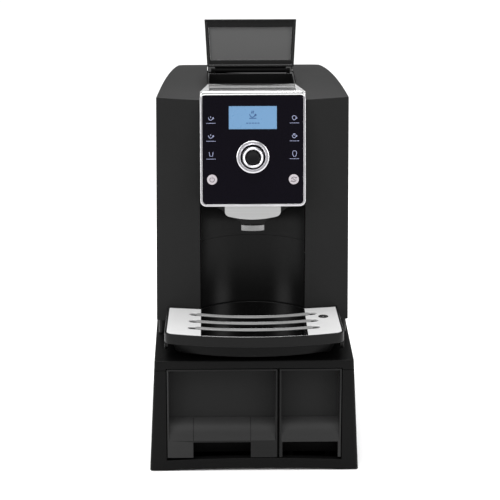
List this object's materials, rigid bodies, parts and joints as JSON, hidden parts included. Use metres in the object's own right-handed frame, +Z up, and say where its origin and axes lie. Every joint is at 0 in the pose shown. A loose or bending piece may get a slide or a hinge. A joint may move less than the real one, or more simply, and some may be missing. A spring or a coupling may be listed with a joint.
{
  "type": "coffee machine",
  "caption": "Bean-to-cup coffee machine with a leaning control panel, sliding spout, drip tray and open bean lid, standing on a cabinet with drawers.",
  "frame": {"origin": "on the floor, in the middle of the machine's outline", "axes": "+X to the right seen from the front, -Y out of the front, +Z up"},
  "size_m": [0.3296, 0.45, 0.6694],
  "materials": {
    "casing_black": "fine satin grain",
    "cabinet_black": "satin powder coat",
    "drawer_black": "fine satin",
    "bin_black": "matt",
    "gloss_black": "glossy",
    "tray_black": "satin",
    "foot_rubber": "matt",
    "tray_steel": "satin, polished towards the middle",
    "float_red": "satin",
    "bezel_silver": "satin chrome",
    "panel_black": "black glass",
    "display_blue": "lit",
    "print_grey": "print",
    "button_white": "satin",
    "top_steel": "brushed",
    "spout_silver": "silver satin",
    "smoked_window": "smoked",
    "steel": "plain",
    "zinc_sheet": "galvanised",
    "motor_can": "zinc",
    "board_green": "lacquered board",
    "inner_grey": "matt",
    "hose_silicone": "silicone",
    "tank_clear": "clear plastic",
    "burr_steel": "machined"
  },
  "bodies": {
    "machine": {"cabinet_shell": "cabinet_black", "cabinet_floor": "bin_black", "feet": "foot_rubber", "platform_cover": "cabinet_black", "cabinet_divider": "cabinet_black", "plinth": "tray_black", "tray_guides": "tray_black", "left_casing": "casing_black", "right_casing": "casing_black", "niche_lower": "gloss_black", "niche_upper": "gloss_black", "head_housing": "gloss_black", "control_board": "board_green", "panel_bezel": "bezel_silver", "panel_glass": "panel_black", "display": "display_blue", "panel_icons": "print_grey", "knob_bezel": "bezel_silver", "head_top_cover": "top_steel", "head_cheeks": "spout_silver", "bean_hopper": "gloss_black", "hinge_deck": "gloss_black", "lid_hinge_pin": "steel", "left_frame": "zinc_sheet", "right_frame": "zinc_sheet", "rear_panel": "casing_black", "panel_screws": "steel", "power_inlet": "bin_black", "grinder_body": "inner_grey", "upper_burr": "burr_steel", "grinder_motor": "motor_can", "brew_frame": "inner_grey", "brew_motor": "motor_can", "boiler": "burr_steel", "pump": "motor_can", "hoses": "hose_silicone", "tank_shelf": "zinc_sheet"},
    "lid": {"hopper_lid": "gloss_black", "lid_window": "smoked_window"},
    "selector": {"selector_ring": "bezel_silver"},
    "ok": {"ok_button": "gloss_black"},
    "power": {"power_button": "button_white"},
    "rinse": {"rinse_button": "button_white"},
    "spout": {"spout_carriage": "gloss_black", "spout_cover": "spout_silver", "spout_outlet": "spout_silver"},
    "tray": {"tray_basin": "tray_black"},
    "grille": {"drip_plate": "tray_steel", "plate_rails": "steel"},
    "float": {"tray_float": "float_red"},
    "grounds_drawer": {"grounds_drawer_front": "drawer_black", "grounds_drawer_bin": "bin_black"},
    "waste_drawer": {"waste_drawer_front": "drawer_black", "waste_drawer_bin": "bin_black"},
    "tank": {"water_tank": "tank_clear"},
    "tank_cover": {"tank_lid": "casing_black"},
    "burr": {"lower_burr": "burr_steel"},
    "brewer": {"brew_cylinder": "inner_grey"},
    "screw": {"brew_screw": "steel"},
    "rocker": {"rocker_switch": "gloss_black"}
  },
  "joints": [
    {"name": "lid_hinge", "type": "hinge", "parent": "machine", "child": "lid", "pos_m": [0, 0.087, 0.587], "axis": [1, 0, 0], "range_deg": [0, 99]},
    {"name": "selector_turn", "type": "hinge", "parent": "machine", "child": "selector", "pos_m": [0, -0.09472, 0.48633], "axis": [0, -0.9895, 0.1444], "continuous": true},
    {"name": "ok_press", "type": "slide", "parent": "machine", "child": "ok", "axis": [0, 0.9895, -0.1444], "range_m": [0, 0.0012], "stiffness_N_per_m": 400},
    {"name": "power_press", "type": "slide", "parent": "machine", "child": "power", "axis": [0, 0.9895, -0.1444], "range_m": [0, 0.0012], "stiffness_N_per_m": 300},
    {"name": "rinse_press", "type": "slide", "parent": "machine", "child": "rinse", "axis": [0, 0.9895, -0.1444], "range_m": [0, 0.0012], "stiffness_N_per_m": 300},
    {"name": "spout_slide", "type": "slide", "parent": "machine", "child": "spout", "axis": [0, 0, -1], "range_m": [0, 0.045]},
    {"name": "tray_slide", "type": "slide", "parent": "machine", "child": "tray", "axis": [0, -1, 0], "range_m": [0, 0.2]},
    {"name": "grille_lift", "type": "slide", "parent": "tray", "child": "grille", "axis": [0, 0, 1], "range_m": [0, 0.04]},
    {"name": "float_rise", "type": "slide", "parent": "tray", "child": "float", "axis": [0, 0, 1], "range_m": [0, 0.008]},
    {"name": "grounds_drawer_slide", "type": "slide", "parent": "machine", "child": "grounds_drawer", "axis": [0, -1, 0], "range_m": [0, 0.3]},
    {"name": "waste_drawer_slide", "type": "slide", "parent": "machine", "child": "waste_drawer", "axis": [0, -1, 0], "range_m": [0, 0.3]},
    {"name": "tank_lift", "type": "slide", "parent": "machine", "child": "tank", "axis": [0, 0, 1], "range_m": [0, 0.28]},
    {"name": "tank_lid_hinge", "type": "hinge", "parent": "tank", "child": "tank_cover", "pos_m": [0, 0.2215, 0.56933], "axis": [-1, 0, 0], "range_deg": [0, 95]},
    {"name": "burr_spin", "type": "hinge", "parent": "machine", "child": "burr", "pos_m": [0, 0.045, 0.42], "axis": [0, 0, 1], "continuous": true},
    {"name": "screw_turn", "type": "hinge", "parent": "machine", "child": "screw", "pos_m": [0, 0.038, 0.27], "axis": [0, 0, 1], "range_deg": [0, 2700]},
    {"name": "brew_lift", "type": "slide", "parent": "machine", "child": "brewer", "axis": [0, 0, 1], "range_m": [0, 0.03]},
    {"name": "rocker_tip", "type": "hinge", "parent": "machine", "child": "rocker", "pos_m": [0.022, 0.221, 0.24], "axis": [0, 0, -1], "range_deg": [0, 8]}
  ],
  "couplings": [
    {"joint": "brew_lift", "follows": "screw_turn", "m_per_rad": 0.00063662}
  ]
}
